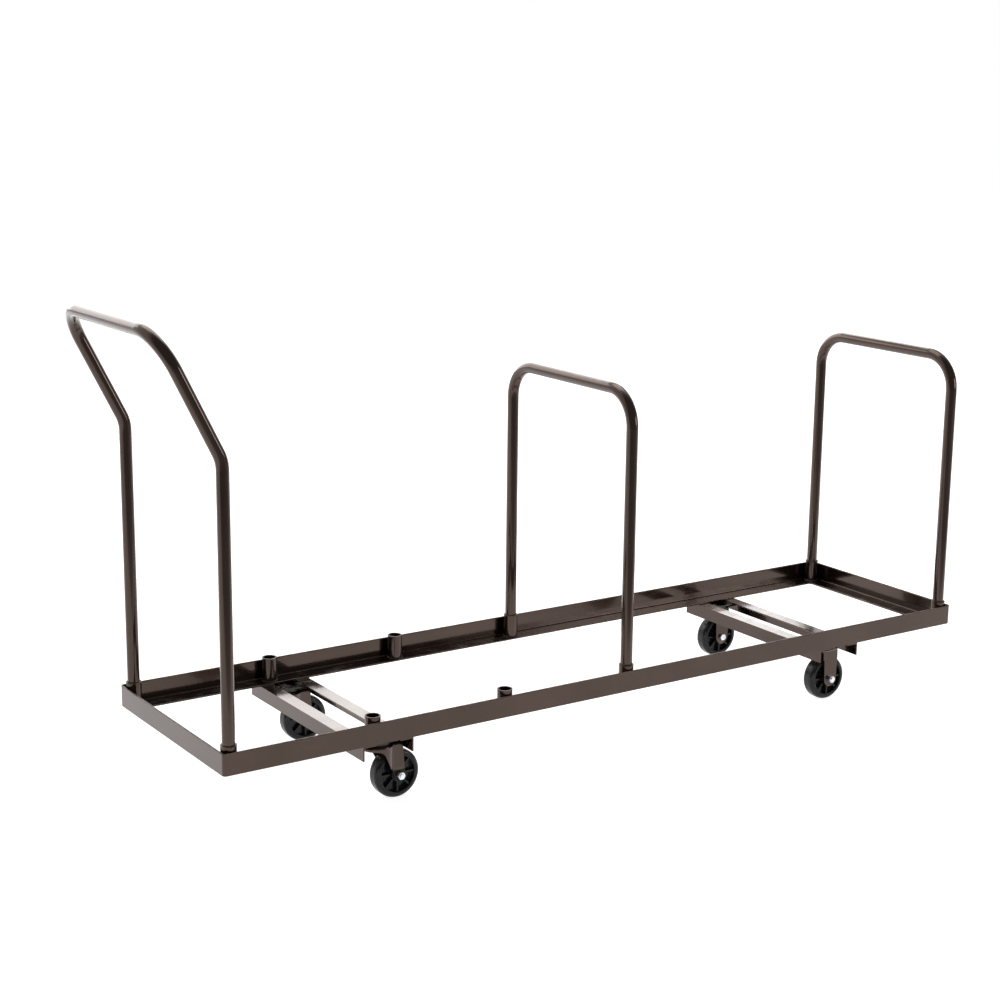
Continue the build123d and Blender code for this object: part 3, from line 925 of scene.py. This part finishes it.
bolt_thread, thread_in, thread_out = growth_tree(
    "bolt_thread",
    {
        "Bolt Ends": "Geometry", "Thread Radius": "Float", "Thread Length": "Float", "Turns": "Float",
        "Thread Depth": "Float", "Finish": "Material",
    },
    "Thread",
)
thread_line = bolt_thread.nodes.new("GeometryNodeCurveSpiral")
thread_line.inputs["Resolution"].default_value = 48
thread_section = bolt_thread.nodes.new("GeometryNodeCurvePrimitiveCircle")
thread_section.inputs["Resolution"].default_value = 4
thread_ridge = bolt_thread.nodes.new("GeometryNodeCurveToMesh")
thread_ridge.inputs["Fill Caps"].default_value = True
half_back = bolt_thread.nodes.new("ShaderNodeVectorMath")
half_back.operation = "SCALE"
half_back.inputs[0].default_value = (0, 0, -0.5)
middled = bolt_thread.nodes.new("GeometryNodeTransform")
along_axle = bolt_thread.nodes.new("GeometryNodeTransform")
along_axle.inputs["Rotation"].default_value = (math.radians(90), 0, 0)
at_bolts = bolt_thread.nodes.new("GeometryNodeInstanceOnPoints")
real_thread = bolt_thread.nodes.new("GeometryNodeRealizeInstances")
thread_finish = bolt_thread.nodes.new("GeometryNodeSetMaterial")
for start, end in (
    (thread_in["Turns"], thread_line.inputs["Rotations"]),
    (thread_in["Thread Radius"], thread_line.inputs["Start Radius"]),
    (thread_in["Thread Radius"], thread_line.inputs["End Radius"]),
    (thread_in["Thread Length"], thread_line.inputs["Height"]),
    (thread_in["Thread Length"], half_back.inputs["Scale"]),
    (thread_in["Thread Depth"], thread_section.inputs["Radius"]),
    (thread_line.outputs["Curve"], thread_ridge.inputs["Curve"]),
    (thread_section.outputs["Curve"], thread_ridge.inputs["Profile Curve"]),
    (thread_ridge.outputs["Mesh"], middled.inputs["Geometry"]),
    (half_back.outputs["Vector"], middled.inputs["Translation"]),
    (middled.outputs["Geometry"], along_axle.inputs["Geometry"]),
    (thread_in["Bolt Ends"], at_bolts.inputs["Points"]),
    (along_axle.outputs["Geometry"], at_bolts.inputs["Instance"]),
    (at_bolts.outputs["Instances"], real_thread.inputs["Geometry"]),
    (real_thread.outputs["Geometry"], thread_finish.inputs["Geometry"]),
    (thread_in["Finish"], thread_finish.inputs["Material"]),
    (thread_finish.outputs["Geometry"], thread_out["Thread"]),
):
    bolt_thread.links.new(start, end)

bolt_ends = {"right_swivel": [], "left_swivel": [], "frame": []}
for name, axle in axles.items():
    finish_node(name + "_axle_bolt", axle_plate)
    finish_node(name + "_axle_nut", axle_plate)
    finish_node(name + "_axle_sleeve", axle_plate)
    finish_node(name + "_bush", bush_nylon)
    nut_low, nut_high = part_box(name + "_axle_nut")
    bolt_low, bolt_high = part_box(name + "_axle_bolt")
    nut_outside = nut_high.y > axle.y
    end_y = (nut_high.y + bolt_high.y) / 2 if nut_outside else (nut_low.y + bolt_low.y) / 2
    bolt_ends[name if name in bolt_ends else "frame"].append((axle.x, end_y, axle.z))
for body, ends in bolt_ends.items():
    spots = bpy.data.meshes.new(body + "_bolt_ends")
    spots.from_pydata(ends, [], [])
    piece = grown_mesh(
        body + "_bolt_thread", spots, bolt_thread,
        {
            "Thread Radius": bolt_radius, "Thread Length": thread_pitch * thread_turns,
            "Turns": thread_turns, "Thread Depth": thread_depth, "Finish": axle_plate,
        },
    )
    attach(piece, body)
